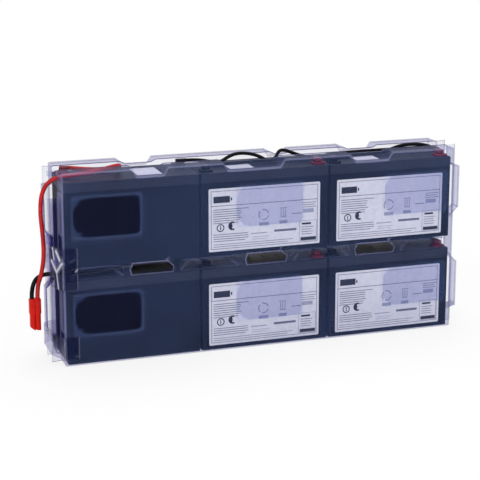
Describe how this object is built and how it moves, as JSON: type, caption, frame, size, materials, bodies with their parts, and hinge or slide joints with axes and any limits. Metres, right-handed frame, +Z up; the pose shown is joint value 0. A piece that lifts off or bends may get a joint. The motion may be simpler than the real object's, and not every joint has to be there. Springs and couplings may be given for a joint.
{
  "type": "ups battery cartridge",
  "caption": "Battery cartridge: sealed batteries in two rows, gripped upright between two shallow clear trays, with red and black leads to a small red plug.",
  "frame": {"origin": "middle of the face it stands on, without the leads and plug", "axes": "+X along the cartridge, with the leads leaving at the -X end; +Y from the labelled front to the back; +Z up, towards the terminals"},
  "size_m": [0.5026, 0.0714, 0.2177],
  "materials": {
    "tray_clear": "clear thermoformed sheet with a faint lilac cast",
    "battery_plastic": "moulded battery case plastic, fine matte grain",
    "positive_plastic": "red terminal plastic",
    "negative_plastic": "black terminal plastic",
    "terminal_metal": "tin-plated brass tab",
    "label_paper": "printed white film label",
    "sticker_paper": "plain white sticker",
    "adhesive": "double-sided adhesive pressed against the clear sheet",
    "tape_clear": "clear packing tape",
    "black_insulation": "black wire insulation",
    "red_insulation": "red wire insulation",
    "plug_plastic": "red nylon housing",
    "contact_metal": "plated contact"
  },
  "bodies": {
    "root": {"black_lead": "black_insulation", "front_adhesive": "adhesive", "front_tray": "tray_clear", "lower_end_tape": "tape_clear", "lower_left_case": "battery_plastic", "lower_left_jumper": "black_insulation", "lower_left_label": "label_paper", "lower_left_lid": "battery_plastic", "lower_left_negative_block": "negative_plastic", "lower_left_positive_block": "positive_plastic", "lower_left_sticker": "sticker_paper", "lower_left_vent_cover": "battery_plastic", "lower_middle_case": "battery_plastic", "lower_middle_label": "label_paper", "lower_middle_lid": "battery_plastic", "lower_middle_negative_block": "negative_plastic", "lower_middle_positive_block": "positive_plastic", "lower_middle_sticker": "sticker_paper", "lower_middle_vent_cover": "battery_plastic", "lower_right_case": "battery_plastic", "lower_right_jumper": "black_insulation", "lower_right_label": "label_paper", "lower_right_lid": "battery_plastic", "lower_right_negative_block": "negative_plastic", "lower_right_positive_block": "positive_plastic", "lower_right_sticker": "sticker_paper", "lower_right_vent_cover": "battery_plastic", "negative_boots": "negative_plastic", "plug_contacts": "contact_metal", "plug_housing": "plug_plastic", "positive_boots": "positive_plastic", "rear_adhesive": "adhesive", "rear_tray": "tray_clear", "red_lead": "red_insulation", "row_jumper": "black_insulation", "terminal_tabs": "terminal_metal", "upper_end_tape": "tape_clear", "upper_left_case": "battery_plastic", "upper_left_jumper": "black_insulation", "upper_left_label": "label_paper", "upper_left_lid": "battery_plastic", "upper_left_negative_block": "negative_plastic", "upper_left_positive_block": "positive_plastic", "upper_left_sticker": "sticker_paper", "upper_left_vent_cover": "battery_plastic", "upper_middle_case": "battery_plastic", "upper_middle_label": "label_paper", "upper_middle_lid": "battery_plastic", "upper_middle_negative_block": "negative_plastic", "upper_middle_positive_block": "positive_plastic", "upper_middle_sticker": "sticker_paper", "upper_middle_vent_cover": "battery_plastic", "upper_right_case": "battery_plastic", "upper_right_jumper": "black_insulation", "upper_right_label": "label_paper", "upper_right_lid": "battery_plastic", "upper_right_negative_block": "negative_plastic", "upper_right_positive_block": "positive_plastic", "upper_right_sticker": "sticker_paper", "upper_right_vent_cover": "battery_plastic"}
  },
  "joints": []
}
